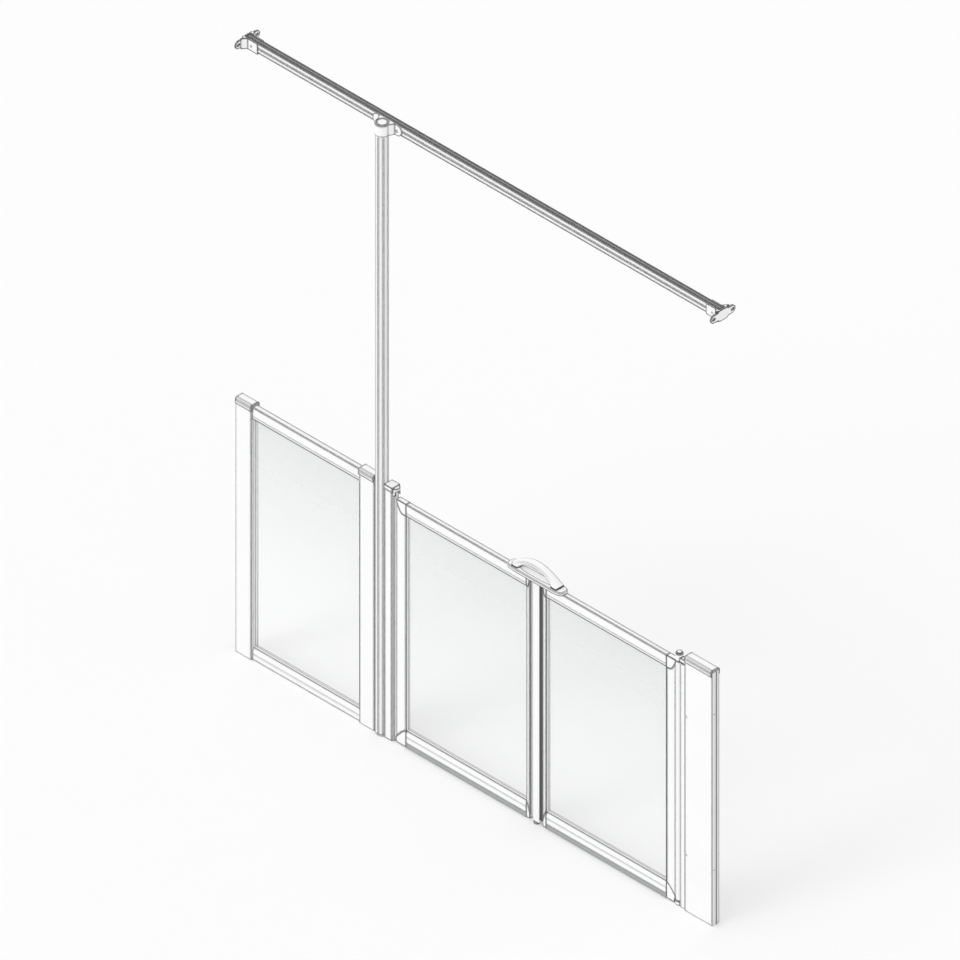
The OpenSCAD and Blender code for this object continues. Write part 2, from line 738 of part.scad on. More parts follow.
// The seal along a leaf's foot between its corner pieces: a carrier with a wiping blade at each face
seal_h = 7;
blade_t = 2;
module leaf_bottom_seal(open_x) {
  block(open_x, [leaf_y0 + 0.5, leaf_y1 - 0.5], [leaf_lift - seal_h, leaf_lift]);
  for (y = [leaf_y0 + 0.5, leaf_y1 - 0.5 - blade_t])
    block(open_x, [y, y + blade_t], [floor_gap, leaf_lift - seal_h]);
}

// Knuckles of a fold hinge: one side has the odd ones, the other the even ones
fold_z = [leaf_lift + 20, door_h - 20];
knuckle_len = (fold_z[1] - fold_z[0]) / knuckle_count;
strip_t = 1.6;
module fold_strip(axis_x, dir, odd) {
  z_of = [for (i = [odd ? 1 : 0 : 2 : knuckle_count - 1]) fold_z[0] + i * knuckle_len];
  near = axis_x + dir * (knuckle_r + 0.9);
  far = axis_x + dir * (knuckle_r + 14);
  difference() {
    union() {
      block([min(near, far), max(near, far)], [leaf_y1, leaf_y1 + strip_t], fold_z);
      for (z = z_of) {
        pin_z(axis_x, fold_y, [z + play, z + knuckle_len - play], knuckle_r);
        block([min(axis_x, near), max(axis_x, near)], [leaf_y1 + play, leaf_y1 + strip_t],
          [z + play, z + knuckle_len - play]);
      }
    }
    pin_z(axis_x, fold_y, [fold_z[0] - 1, fold_z[1] + 1], fold_pin_r + run);
  }
}

module hinged_stile_outer() {
  color(white) placed() difference() {
    union() {
      leaf_stile([hinged_open_x[1], hinged_x[1]], false);
      pin_z(hinge_x, mid_y, [leaf_lift, door_h], hinge_tube_r);
    }
    pin_z(hinge_x, mid_y, [leaf_lift - 1, door_h + 1], hinge_tube_r - 2.5);
    difference() {
      top_corner(hinged_x[1], true, stile_outer_w);
      pin_z(hinge_x, mid_y, [0, door_h + 1], hinge_tube_r);
    }
  }
}

module hinged_stile_inner() {
  color(white) placed() leaf_stile([hinged_x[0], hinged_open_x[0]], true);
}

module hinged_top_rail() { color(white) placed() leaf_top_rail(hinged_open_x); }
module hinged_bottom_rail() { color(white) placed() leaf_bottom_rail(hinged_open_x); }

// The corners on the hinge side leave room for the hinge tube and, below it, for the pivot block
module hinged_corners() {
  color(plastic) placed() difference() {
    leaf_corners(hinged_x, false);
    pin_z(hinge_x, mid_y, [0, door_h + 1], hinge_tube_r);
    pin_z(hinge_x, mid_y, [0, leaf_lift], pivot_r + 1.5);
  }
}

module hinged_glass() { color(glass_tint) placed() glass_sheet(hinged_open_x, leaf_open_z); }
module hinged_gasket() { color(grey_rubber) placed() gasket_frame(hinged_open_x, leaf_open_z); }
module hinged_bottom_seal() { color(grey_rubber) placed() leaf_bottom_seal(hinged_open_x); }

// Nylon bushes in the ends of the hinge tube
module hinged_bushes() {
  color(plastic) placed() for (z = [[leaf_lift - 1.7, leaf_lift + pivot_reach + 4],
      [door_h - pivot_reach - 4, door_h]])
    difference() {
      pin_z(hinge_x, mid_y, z, hinge_tube_r - 2.5);
      pin_z(hinge_x, mid_y, [z[0] - 1, z[1] + 1], pivot_pin_r + run);
    }
}

module hinged_fold_strip() { color(white) placed() fold_strip(fold_x_hinged, 1, false); }
module leading_fold_strip() { color(white) placed() fold_strip(fold_x_lead, -1, false); }

bar_x = [bar_mid_x - bar_w / 2, bar_mid_x + bar_w / 2];
bar_z = [bar_gap, bar_top];
module centre_bar() {
  color(white) placed() difference() {
    upright_tube(bar_x, [bar_y0, leaf_y1], bar_z, section_t);
    for (x = [bar_x[0] + 6, bar_x[1] - 7]) block([x, x + 1], [bar_y0 - 1, bar_y0 + 0.5], [0, bar_top + 1]);
  }
}

// Black seals that close the gaps beside the bar
module bar_seals() {
  color(black_rubber) placed() union() {
    block([lead_x[1] + play, bar_x[0]], [leaf_y0 + 2, leaf_y1 - 2], [leaf_lift, door_h]);
    block([bar_x[1], hinged_x[0] - play], [leaf_y0 + 2, leaf_y1 - 2], [leaf_lift, door_h]);
  }
}

module bar_fold_strip() {
  color(white) placed() difference() {
    union() {
      for (side = [-1, 1]) {
        x_axis = bar_mid_x + side * fold_pitch / 2;
        for (i = [1 : 2 : knuckle_count - 1]) {
          z = [fold_z[0] + i * knuckle_len + play, fold_z[0] + (i + 1) * knuckle_len - play];
          pin_z(x_axis, fold_y, z, knuckle_r);
          block([min(x_axis, bar_mid_x + side * 5), max(x_axis, bar_mid_x + side * 5)],
            [leaf_y1 + play, leaf_y1 + strip_t], z);
        }
      }
      block([bar_mid_x - 12, bar_mid_x + 12], [leaf_y1, leaf_y1 + strip_t], fold_z);
    }
    for (x = [fold_x_lead, fold_x_hinged])
      pin_z(x, fold_y, [fold_z[0] - 1, fold_z[1] + 1], fold_pin_r);
  }
}

module fold_pins() {
  color(steel) placed() for (x = [fold_x_lead, fold_x_hinged])
    pin_z(x, fold_y, [fold_z[0] - 1, fold_z[1] + 1], fold_pin_r);
}

// Plastic foot under the bar: a plate and a round pad towards the front
foot_y = bar_y0 + 4;
foot_plate_t = 2;
module bar_foot() {
  color(plastic) placed() union() {
    block([bar_x[0] + 1, bar_x[1] - 1], [bar_y0 + 1, leaf_y1 - 1], [bar_gap - foot_plate_t, bar_gap]);
    pin_z(bar_mid_x, foot_y, [floor_gap, bar_gap - foot_plate_t + eps], 11);
  }
}

// Handle: a rounded base on the bar with an arch over a hand hole
handle_y = [handle_front_y, handle_front_y + handle_w];
handle_mid_y = handle_front_y + handle_w / 2;
arch_r = (pow(arch_len / 2, 2) + pow(arch_h, 2)) / (2 * arch_h);
hole_r = (pow(hole_len / 2, 2) + pow(hole_h, 2)) / (2 * hole_h);
module arch_handle() {
  color(plastic) placed() union() {
    difference() {
      union() {
        block([bar_mid_x - handle_len / 2 + handle_corner_r, bar_mid_x + handle_len / 2 - handle_corner_r],
          handle_y, [bar_top, handle_top_z]);
        block([bar_mid_x - handle_len / 2, bar_mid_x + handle_len / 2],
          [handle_y[0] + handle_corner_r, handle_y[1] - handle_corner_r], [bar_top, handle_top_z]);
        for (sx = [-1, 1], sy = [-1, 1])
          pin_z(bar_mid_x + sx * (handle_len / 2 - handle_corner_r),
            handle_mid_y + sy * (handle_w / 2 - handle_corner_r),
            [bar_top, handle_top_z], handle_corner_r);
      }
      for (x = handle_screw_x) pin_z(x, handle_mid_y, [bar_top - 1, bar_top + 4], 2.2);
    }
    translate([bar_mid_x, handle_mid_y + arch_w / 2, handle_top_z]) rotate([90, 0, 0])
      linear_extrude(arch_w) intersection() {
        difference() {
          translate([0, arch_h - arch_r]) circle(r = arch_r, $fn = 96);
          translate([0, hole_h - hole_r]) circle(r = hole_r, $fn = 96);
        }
        translate([-arch_len / 2, 0]) square([arch_len, arch_h + 1]);
      }
  }
}
handle_screw_x = [bar_mid_x - 6, bar_mid_x + 6];

module handle_screws() {
  color(steel) placed() for (x = handle_screw_x)
    pin_z(x, handle_mid_y, [bar_top - 14, bar_top + 4], 2.2);
}

module leading_stile_outer() {
  color(white) placed() leaf_stile([lead_x[0], lead_open_x[0]], true);
}
module leading_stile_inner() {
  color(white) placed() leaf_stile([lead_open_x[1], lead_x[1]], false);
}
module leading_top_rail() { color(white) placed() leaf_top_rail(lead_open_x); }
module leading_bottom_rail() { color(white) placed() leaf_bottom_rail(lead_open_x); }
module leading_corners() { color(plastic) placed() leaf_corners(lead_x, true); }
module leading_glass() { color(glass_tint) placed() glass_sheet(lead_open_x, leaf_open_z); }
module leading_gasket() { color(grey_rubber) placed() gasket_frame(lead_open_x, leaf_open_z); }
module leading_bottom_seal() { color(grey_rubber) placed() leaf_bottom_seal(lead_open_x); }

module leading_magnet() {
  color(grey_rubber) placed()
    block([lead_x[0] - door_gap + magnet_gap, lead_x[0]], [mid_y - magnet_half, mid_y + magnet_half],
      [24, door_h - 10]);
}

wall_channel_left();
panel_post_left();
panel_post_right();
panel_top_rail();
panel_bottom_rail();
panel_glass();
panel_gasket();
post_cap_left();
post_cap_middle();
support_pole();
pole_foot();
pole_collar();
collar_screws();
curtain_rail();
rail_bracket_left();
rail_bracket_right();
rail_bracket_screws();
closing_jamb();
jamb_cap();
closing_profile();
jamb_magnet();
wall_post_right();
wall_channel_right();
wall_post_cap();
wall_post_screws();
hinge_profile();
pivot_block_bottom();
pivot_cap_top();
pivot_pins();
hinged_stile_outer();
hinged_stile_inner();
hinged_top_rail();
hinged_bottom_rail();
hinged_corners();
hinged_glass();
hinged_gasket();
hinged_bottom_seal();
hinged_bushes();
hinged_fold_strip();
centre_bar();
bar_seals();
bar_fold_strip();
fold_pins();
bar_foot();
arch_handle();
handle_screws();
leading_stile_outer();
leading_stile_inner();
leading_top_rail();
leading_bottom_rail();
leading_corners();
leading_glass();
leading_gasket();
leading_bottom_seal();
leading_magnet();
leading_fold_strip();
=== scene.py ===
"""Looks of the half-height carer shower screen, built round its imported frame.

The finishes come first, then the studio with its camera, then the classes that dress each
sub-assembly: extrusions and mouldings, the handle, joint lines and glazing lips, the ribbed
ledges and the sealant. Names that end in _mm are in millimetres, other lengths in metres.
"""
import json
import logging
import math
from dataclasses import dataclass, field, replace
from enum import Enum
from typing import Iterable, Protocol, Sequence

import bmesh
import bpy
import numpy as np
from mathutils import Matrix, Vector


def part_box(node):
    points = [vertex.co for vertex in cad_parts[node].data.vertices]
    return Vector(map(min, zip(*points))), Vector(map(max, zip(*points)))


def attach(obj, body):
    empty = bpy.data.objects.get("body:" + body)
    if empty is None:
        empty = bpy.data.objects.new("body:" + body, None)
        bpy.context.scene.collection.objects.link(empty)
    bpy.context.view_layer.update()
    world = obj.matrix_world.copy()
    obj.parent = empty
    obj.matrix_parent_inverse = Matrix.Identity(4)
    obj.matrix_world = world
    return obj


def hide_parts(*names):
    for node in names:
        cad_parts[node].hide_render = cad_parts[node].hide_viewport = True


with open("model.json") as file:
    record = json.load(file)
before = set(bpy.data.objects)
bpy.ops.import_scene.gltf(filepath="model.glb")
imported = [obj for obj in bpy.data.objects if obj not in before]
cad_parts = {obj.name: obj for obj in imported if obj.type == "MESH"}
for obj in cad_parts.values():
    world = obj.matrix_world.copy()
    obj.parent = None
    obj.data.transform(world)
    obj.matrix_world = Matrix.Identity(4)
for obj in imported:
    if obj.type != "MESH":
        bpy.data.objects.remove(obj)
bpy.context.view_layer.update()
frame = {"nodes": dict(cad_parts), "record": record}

MM = 0.001
WELD = 1e-6
log = logging.getLogger("carer_screen")

Vec = tuple[float, float, float]
Solid = tuple[np.ndarray, list[list[int]]]


class Body(Enum):
    """The four rigid bodies that pieces ride on."""

    FRAME = "frame"
    HINGED = "leaf_hinged"
    BAR = "centre_bar"
    LEADING = "leaf_leading"


class Slot(Enum):
    """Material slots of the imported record."""

    COAT = "white_powder_coat"
    PLASTIC = "white_plastic"
    GASKET = "grey_gasket"
    SEAL = "black_seal"
    STEEL = "screw_steel"
    ALUMINIUM = "channel_aluminium"
    GLASS = "safety_glass"


class Wire:
    """A shader socket whose operators add Math nodes to its tree."""

    def __init__(self, paint: "Paint", link: bpy.types.NodeSocket) -> None:
        """Keeps the socket and the tree that it belongs to."""
        self.paint = paint
        self.link = link

    def _math(self, operation: str, first: "Wire | float", second: "Wire | float") -> "Wire":
        """The result of a new Math node that is fed two wires or numbers."""
        return self.paint.node("ShaderNodeMath", {"operation": operation}, {0: first, 1: second})

    def __add__(self, other: "Wire | float") -> "Wire":
        """Sum."""
        return self._math("ADD", self, other)

    def __radd__(self, other: "Wire | float") -> "Wire":
        """Sum with a number on the left."""
        return self._math("ADD", other, self)

    def __sub__(self, other: "Wire | float") -> "Wire":
        """Difference."""
        return self._math("SUBTRACT", self, other)

    def __rsub__(self, other: "Wire | float") -> "Wire":
        """Difference from a number on the left."""
        return self._math("SUBTRACT", other, self)

    def __mul__(self, other: "Wire | float") -> "Wire":
        """Product."""
        return self._math("MULTIPLY", self, other)

    def __rmul__(self, other: "Wire | float") -> "Wire":
        """Product with a number on the left."""
        return self._math("MULTIPLY", other, self)

    def clamped(self) -> "Wire":
        """The value held between 0 and 1."""
        return self._math("MINIMUM", self._math("MAXIMUM", self, 0.0), 1.0)


class Paint:
    """One material's node tree round a Principled shader."""

    noise_roughness: float = 0.55
    bevel_samples: int = 8
    flat_turn: float = 0.15

    def __init__(self, name: str) -> None:
        """Makes the material with its shader, its output and its Object coordinates.

        Args:
            name: the material's name.
        """
        self.material = bpy.data.materials.new(name)
        self.material.use_nodes = True
        self.tree = self.material.node_tree
        self.tree.nodes.clear()
        output = self.tree.nodes.new("ShaderNodeOutputMaterial")
        self.shader = self.tree.nodes.new("ShaderNodeBsdfPrincipled")
        self.tree.links.new(self.shader.outputs[0], output.inputs["Surface"])
        self.place = self.node("ShaderNodeTexCoord", {}, {}, "Object")

    def node(self, kind: str, settings: dict[str, object], values: dict[int | str, object],
             out: int | str = 0) -> Wire:
        """Adds any node.

        Args:
            kind: the node's type.
            settings: its own settings, set first.
            values: numbers, colours or wires for its input sockets.
            out: the output to return.

        Returns:
            The chosen output as a wire.
        """
        made = self.tree.nodes.new(kind)
        for key, value in settings.items():
            setattr(made, key, value)
        for key, value in values.items():
            self._feed(made.inputs[key], value)
        return Wire(self, made.outputs[out])

    def _feed(self, socket: bpy.types.NodeSocket, value: object) -> None:
        """Links a wire to a socket, or sets its number or colour.

        Args:
            socket: the input socket.
            value: a wire, a number or a colour.
        """
        if isinstance(value, Wire):
            self.tree.links.new(value.link, socket)
        else:
            socket.default_value = value

    def set(self, **values: object) -> None:
        """Feeds the shader's own sockets; underscores stand for spaces in their names."""
        for key, value in values.items():
            self._feed(self.shader.inputs[key.replace("_", " ")], value)

    def noise(self, scale: float, detail: float = 2.0, stretch: Vec = (1, 1, 1)) -> Wire:
        """Smooth noise on Object coordinates.

        Args:
            scale: features per metre.
            detail: octaves.
            stretch: scale along each axis.

        Returns:
            A value round one half.
        """
        place = self.node("ShaderNodeMapping", {}, {"Vector": self.place, "Scale": stretch})
        return self.node("ShaderNodeTexNoise", {}, {"Vector": place, "Scale": scale, "Detail": detail,
                                                    "Roughness": self.noise_roughness})

    def blend(self, factor: Wire, low: Wire | Vec, high: Wire | Vec) -> Wire:
        """Mixes two colours.

        Args:
            factor: 0 gives the low colour and 1 the high one.
            low: a colour wire or three numbers.
            high: a colour wire or three numbers.

        Returns:
            The mixed colour.
        """
        ends = [end if isinstance(end, Wire) else (*end, 1.0) for end in (low, high)]
        return self.node("ShaderNodeMix", {"data_type": "RGBA"},
                         {0: factor, 6: ends[0], 7: ends[1]}, 2)

    def painted_edge_shade(self, reach: float, gain: float) -> Wire:
        """How near a point lies to an edge: the mask for painted shade along every edge.

        The Bevel node turns the normal near an edge. The line is one less the dot product of the
        turned normal and the face's own, times the gain, less what still counts as flat.

        Args:
            reach: how far the line goes to each side of the edge, in metres.
            gain: how fast the line darkens as the surface turns; rounder edges need more.

        Returns:
            0 on flat faces and 1 at an edge.
        """
        turned = self.node("ShaderNodeBevel", {"samples": self.bevel_samples}, {"Radius": reach})
        face = self.node("ShaderNodeNewGeometry", {}, {}, "Normal")
        agree = self.node("ShaderNodeVectorMath", {"operation": "DOT_PRODUCT"},
                          {0: turned, 1: face}, "Value")
        return ((1 - agree) * gain - self.flat_turn).clamped()

    def facing_up(self) -> Wire:
        """1 on level faces that look up, 0 on upright ones."""
        face = self.node("ShaderNodeNewGeometry", {}, {}, "Normal")
        return self.node("ShaderNodeSeparateXYZ", {}, {"Vector": face}, "Z").clamped()

    def along(self, axis: str) -> Wire:
        """The place along one axis, X, Y or Z, in metres."""
        return self.node("ShaderNodeSeparateXYZ", {}, {"Vector": self.place}, axis)

    def bump(self, height: Wire, strength: float, distance: float) -> None:
        """Feeds a Bump node into the shader's Normal."""
        self.set(Normal=self.node("ShaderNodeBump", {},
                                  {"Height": height, "Strength": strength, "Distance": distance}))


class Surface(Protocol):
    """A finish that builds its own material."""

    def material(self) -> bpy.types.Material:
        """Builds the node material."""


@dataclass(frozen=True)
class Finish:
    """An even finish: colour and roughness ranges, fine grain, splashes, painted shade on faces that
    look up and painted shade along edges.
    """

    name: str
    light: Vec
    dark: Vec
    rough: tuple[float, float]
    grain_scale: float
    grain_depth: float
    grain_strength: float = 0.35
    rough_fineness: float = 4.0
    tone_scale: float = 7.0
    stretch: Vec = (1, 1, 1)
    metallic: float = 0.0
    floor_marks: float = 0.0
    splash_fade: float = 9.0
    # Painted shade on faces that look up, as a share of the shade colour.
    splash_scale: float = 38.0
    painted_top_shade: float = 0.0
    # Painted edge shade: how strong, how far to each side, how fast and how dark the edge lines are.
    # The shade colour also serves the painted top shade.
    arris_shade: float = 0.0
    arris_reach: float = 0.0075
    arris_gain: float = 40.0
    painted_shade_colour: Vec = (0.05, 0.05, 0.052)

    def material(self) -> bpy.types.Material:
        """Builds the node material.

        Returns:
            The material.
        """
        paint = Paint(self.name)
        tone = paint.noise(self.tone_scale, detail=3.0, stretch=self.stretch)
        if self.floor_marks:
            splash = (1 - paint.along("Z") * self.splash_fade).clamped()
            splash = splash * paint.noise(self.splash_scale, detail=4.0)
            tone = (tone + splash * self.floor_marks).clamped()
        colour = paint.blend(tone, self.light, self.dark)
        # Painted shade: faces that look up darken towards the shade colour.
        if self.painted_top_shade:
            colour = paint.blend(paint.facing_up() * self.painted_top_shade, colour, self.painted_shade_colour)
        # Painted shade: colour darkens near every edge and stands in for outlines.
        if self.arris_shade:
            line = paint.painted_edge_shade(self.arris_reach, self.arris_gain) * self.arris_shade
            colour = paint.blend(line, colour, self.painted_shade_colour)
        low, high = self.rough
        uneven = paint.noise(self.tone_scale * self.rough_fineness)
        paint.set(Base_Color=colour, Metallic=self.metallic, Roughness=uneven * (high - low) + low)
        fine = paint.noise(self.grain_scale, stretch=self.stretch)
        paint.bump(fine, self.grain_strength, self.grain_depth)
        return paint.material


@dataclass(frozen=True)
class ClearGlass:
    """Toughened glass: a faint cool tint that is denser towards its top, with dried water marks."""

    name: str = "clear_toughened_glass"
    head_tint: Vec = (0.70, 0.715, 0.71)
    foot_tint: Vec = (0.93, 0.95, 0.95)
    foot_alpha: float = 0.01
    head_alpha: float = 0.39
    head_z: float = 0.86
    spot_scale: float = 160.0
    spot_start: float = 0.62
    spot_rough: float = 0.5
    spot_veil: float = 0.125
    polish: float = 0.05
    bending: float = 1.5
    glint: float = 0.35

    def material(self) -> bpy.types.Material:
        """Builds the glass. Alpha rises from foot_alpha at the floor to head_alpha at head_z.

        Returns:
            The material.
        """
        paint = Paint(self.name)
        rise = (paint.along("Z") * (1 / self.head_z)).clamped()
        spots = (paint.noise(self.spot_scale, detail=4.0) - self.spot_start).clamped()
        veil = rise * (self.head_alpha - self.foot_alpha) + self.foot_alpha
        paint.set(Base_Color=paint.blend(rise, self.foot_tint, self.head_tint),
                  Roughness=spots * self.spot_rough + self.polish,
                  Alpha=(veil + spots * self.spot_veil).clamped(), IOR=self.bending,
                  Specular_IOR_Level=self.glint)
        return paint.material


@dataclass(frozen=True)
class BarSealRubber:
    """The pair of seals beside the centre bar.

    The left one has a dark lip that fades into its pale carrier, and the right one is dark.
    """

    name: str = "bar_seal_rubber"
    lip: Vec = (0.15, 0.15, 0.154)
    pale: Vec = (0.88, 0.88, 0.88)
    dark: Vec = (0.05, 0.05, 0.052)
    split_sharpness: float = 1000.0
    wear: float = 0.2
    wear_scale: float = 30.0
    rough: tuple[float, float] = (0.5, 0.7)
    rough_scale: float = 60.0
    grain_scale: float = 1800.0
    grain_strength: float = 0.3
    grain_depth: float = 0.00006

    def material(self) -> bpy.types.Material:
        """Builds the rubber. Its colour follows X: lip, pale carrier, then dark past the bar.

        Returns:
            The material.
        """
        seal_low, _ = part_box("bar_seals")
        bar_low, bar_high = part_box("centre_bar")
        paint = Paint(self.name)
        across = paint.along("X")
        right = ((across - (bar_low.x + bar_high.x) / 2) * self.split_sharpness).clamped()
        fade = (across - seal_low.x) * (1 / (bar_low.x - seal_low.x))
        fade = (fade - paint.noise(self.wear_scale, detail=3.0) * self.wear).clamped()
        low, high = self.rough
        paint.set(Base_Color=paint.blend(right, paint.blend(fade, self.lip, self.pale), self.dark),
                  Roughness=paint.noise(self.rough_scale) * (high - low) + low)
        paint.bump(paint.noise(self.grain_scale), self.grain_strength, self.grain_depth)
        return paint.material


COAT = Finish("white_powder_coat_finish", light=(0.90, 0.90, 0.90), dark=(0.86, 0.862, 0.862),
              rough=(0.34, 0.48), grain_scale=1500.0, grain_depth=0.00005, floor_marks=0.15,
              arris_shade=0.9)
PLAIN_COAT = replace(COAT, name="plain_bar_coat", arris_shade=0.0)
# The rail's grooved top gets painted shade.
GROOVED_COAT = replace(COAT, name="grooved_rail_coat", light=(0.89, 0.89, 0.89),
                       dark=(0.84, 0.842, 0.842), floor_marks=0.0, painted_top_shade=0.6, arris_shade=0.97,
                       arris_reach=0.009, painted_shade_colour=(0.012, 0.012, 0.012))
# A darker copy of the white coat. Its darker colour is painted shade for the round pole's sides; its
# satin roughness and grain are its own.
SHADED_SATIN_POLE = replace(COAT, name="satin_pole_coat_painted_shade", light=(0.84, 0.84, 0.84), dark=(0.78, 0.782, 0.782),
                     rough=(0.3, 0.44), stretch=(6.0, 6.0, 0.5), floor_marks=0.0, arris_shade=0.95,
                     arris_reach=0.005, painted_shade_colour=(0.02, 0.02, 0.021))
PLASTIC = Finish("moulded_white_plastic", light=(0.92, 0.92, 0.915), dark=(0.87, 0.872, 0.868),
                 rough=(0.38, 0.55), grain_scale=2600.0, grain_depth=0.00004, tone_scale=14.0,
                 arris_shade=0.96, painted_shade_colour=(0.02, 0.02, 0.021))
ROUND_PLASTIC = replace(PLASTIC, name="rounded_white_plastic", arris_shade=0.95, arris_reach=0.010,
                        arris_gain=130.0, painted_shade_colour=(0.05, 0.05, 0.052))
HANDLE_PLASTIC = replace(PLASTIC, name="handle_white_plastic", arris_shade=0.97, arris_reach=0.0058,
                         arris_gain=170.0)
GASKET = Finish("grey_gasket_rubber", light=(0.46, 0.465, 0.47), dark=(0.38, 0.385, 0.39),
                rough=(0.6, 0.8), grain_scale=1800.0, grain_depth=0.00008, tone_scale=30.0,
                arris_shade=0.35)
PALE_GASKET = Finish("pale_glazing_gasket", light=(0.90, 0.90, 0.90), dark=(0.84, 0.84, 0.842),
                     rough=(0.5, 0.7), grain_scale=1800.0, grain_depth=0.00006, tone_scale=30.0)
LEDGE_RUBBER = Finish("pale_ledge_rubber", light=(0.62, 0.62, 0.62), dark=(0.34, 0.34, 0.345),
                      rough=(0.55, 0.75), grain_scale=900.0, grain_depth=0.00006, tone_scale=160.0,
                      arris_shade=0.5, arris_reach=0.002)
# Dark joints and sealant; also the colour of painted shade in gaps, under rails and round the handle's
# recess.
JOINT_SHADE = Finish("dark_joint_and_painted_shade_line", light=(0.16, 0.16, 0.165), dark=(0.10, 0.10, 0.105),
                     rough=(0.6, 0.8), grain_scale=1800.0, grain_depth=0.00005, tone_scale=30.0)
STEEL = Finish("turned_stainless_steel", light=(0.62, 0.63, 0.64), dark=(0.48, 0.49, 0.5),
               rough=(0.22, 0.4), grain_scale=2400.0, grain_depth=0.00003, tone_scale=60.0,
               metallic=1.0)
ALUMINIUM = Finish("mill_finish_aluminium", light=(0.80, 0.80, 0.80), dark=(0.72, 0.722, 0.722),
                   rough=(0.4, 0.6), grain_scale=900.0, grain_depth=0.00004,
                   stretch=(12.0, 12.0, 0.6), metallic=0.35)

SLOT_FINISHES: dict[Slot, Surface] = {
    Slot.COAT: COAT, Slot.PLASTIC: PLASTIC, Slot.GASKET: GASKET, Slot.SEAL: BarSealRubber(),
    Slot.STEEL: STEEL, Slot.ALUMINIUM: ALUMINIUM, Slot.GLASS: ClearGlass(),
}
NODE_FINISHES: dict[str, Surface] = {
    "centre_bar": PLAIN_COAT, "curtain_rail": GROOVED_COAT, "support_pole": SHADED_SATIN_POLE,
    "post_cap_left": ROUND_PLASTIC, "post_cap_middle": ROUND_PLASTIC, "wall_post_cap": ROUND_PLASTIC,
    "panel_gasket": PALE_GASKET, "leading_gasket": PALE_GASKET, "hinged_gasket": PALE_GASKET,
    "jamb_magnet": PALE_GASKET, "leading_magnet": PALE_GASKET,
}


class Finishes:
    """Builds each finish the first time that a piece wears it."""

    def __init__(self) -> None:
        """Starts with no material."""
        self.made: dict[Surface, bpy.types.Material] = {}

    def dress(self, piece: bpy.types.Object, surface: Surface) -> None:
        """Puts a finish on a piece's only material slot.

        Args:
            piece: the piece or node.
            surface: its finish.
        """
        if surface not in self.made:
            self.made[surface] = surface.material()
        piece.data.materials.clear()
        piece.data.materials.append(self.made[surface])

    def dress_node(self, piece: bpy.types.Object, node: str, slot: Slot) -> None:
        """Gives a piece the finish of its node, or else the one of its record slot."""
        self.dress(piece, NODE_FINISHES.get(node, SLOT_FINISHES[slot]))


@dataclass(frozen=True)
class Sun:
    """A broad far light: how it is turned, its strength and how wide it looks."""

    name: str
    turn: Vec
    strength: float
    spread_deg: float

    def add(self) -> None:
        """Adds the light to the scene."""
        data = bpy.data.lights.new(self.name, "SUN")
        data.energy = self.strength
        data.angle = math.radians(self.spread_deg)
        light = bpy.data.objects.new(self.name, data)
        light.rotation_euler = self.turn
        bpy.context.scene.collection.objects.link(light)


@dataclass(frozen=True)
class Studio:
    """Pale floor, soft lights and a camera at the drawing's own true isometric view."""

    look_at: Vec = (0.0088, -0.026, 1.0972)
    view_width: float = 2.7955
    azimuth_deg: float = 45.0
    elevation_deg: float = 35.264
    distance: float = 8.0
    view_end: float = 60.0
    floor_half: float = 30.0
    floor_drop: float = 0.0005
    floor_grey: float = 0.93
    floor_rough: float = 0.9
    floor_glint: float = 0.1
    surround: float = 0.87
    suns: tuple[Sun, ...] = (Sun("top_sun", (0.30, -0.22, 0.0), 0.40, 60.0),
                             Sun("front_sun", (1.15, 0.0, -0.25), 0.52, 30.0))

    def build(self) -> None:
        """Adds the camera, the floor and the lights."""
        self._camera()
        self._floor()
        self._lights()

    def _camera(self) -> None:
        """Places the parallel camera."""
        data = bpy.data.cameras.new("photo_camera")
        data.type = "ORTHO"
        data.ortho_scale = self.view_width
        data.clip_end = self.view_end
        camera = bpy.data.objects.new("photo_camera", data)
        azimuth, elevation = math.radians(self.azimuth_deg), math.radians(self.elevation_deg)
        back = Vector((math.sin(azimuth) * math.cos(elevation),
                       -math.cos(azimuth) * math.cos(elevation), math.sin(elevation)))
        camera.location = Vector(self.look_at) + back * self.distance
        camera.rotation_euler = (-back).to_track_quat("-Z", "Y").to_euler()
        bpy.context.scene.collection.objects.link(camera)
        bpy.context.scene.camera = camera

    def _floor(self) -> None:
        """Makes the plain floor a little below the screen's feet."""
        half, level = self.floor_half, -self.floor_drop
        mesh = bpy.data.meshes.new("studio_floor")
        mesh.from_pydata([(-half, -half, level), (half, -half, level), (half, half, level),
                          (-half, half, level)], [], [(0, 1, 2, 3)])
        floor = bpy.data.objects.new("studio_floor", mesh)
        bpy.context.scene.collection.objects.link(floor)
        paint = Paint("studio_floor_paint")
        grey = self.floor_grey
        paint.set(Base_Color=(grey, grey, grey, 1.0), Roughness=self.floor_rough,
                  Specular_IOR_Level=self.floor_glint)
        mesh.materials.append(paint.material)

    def _lights(self) -> None:
        """Adds both lights and an even white surround."""
        world = bpy.data.worlds.new("studio")
        bpy.context.scene.world = world
        world.use_nodes = True
        background = world.node_tree.nodes["Background"]
        background.inputs["Color"].default_value = (1.0, 1.0, 1.0, 1.0)
        background.inputs["Strength"].default_value = self.surround
        bpy.context.scene.view_settings.view_transform = "Standard"
        for sun in self.suns:
            sun.add()


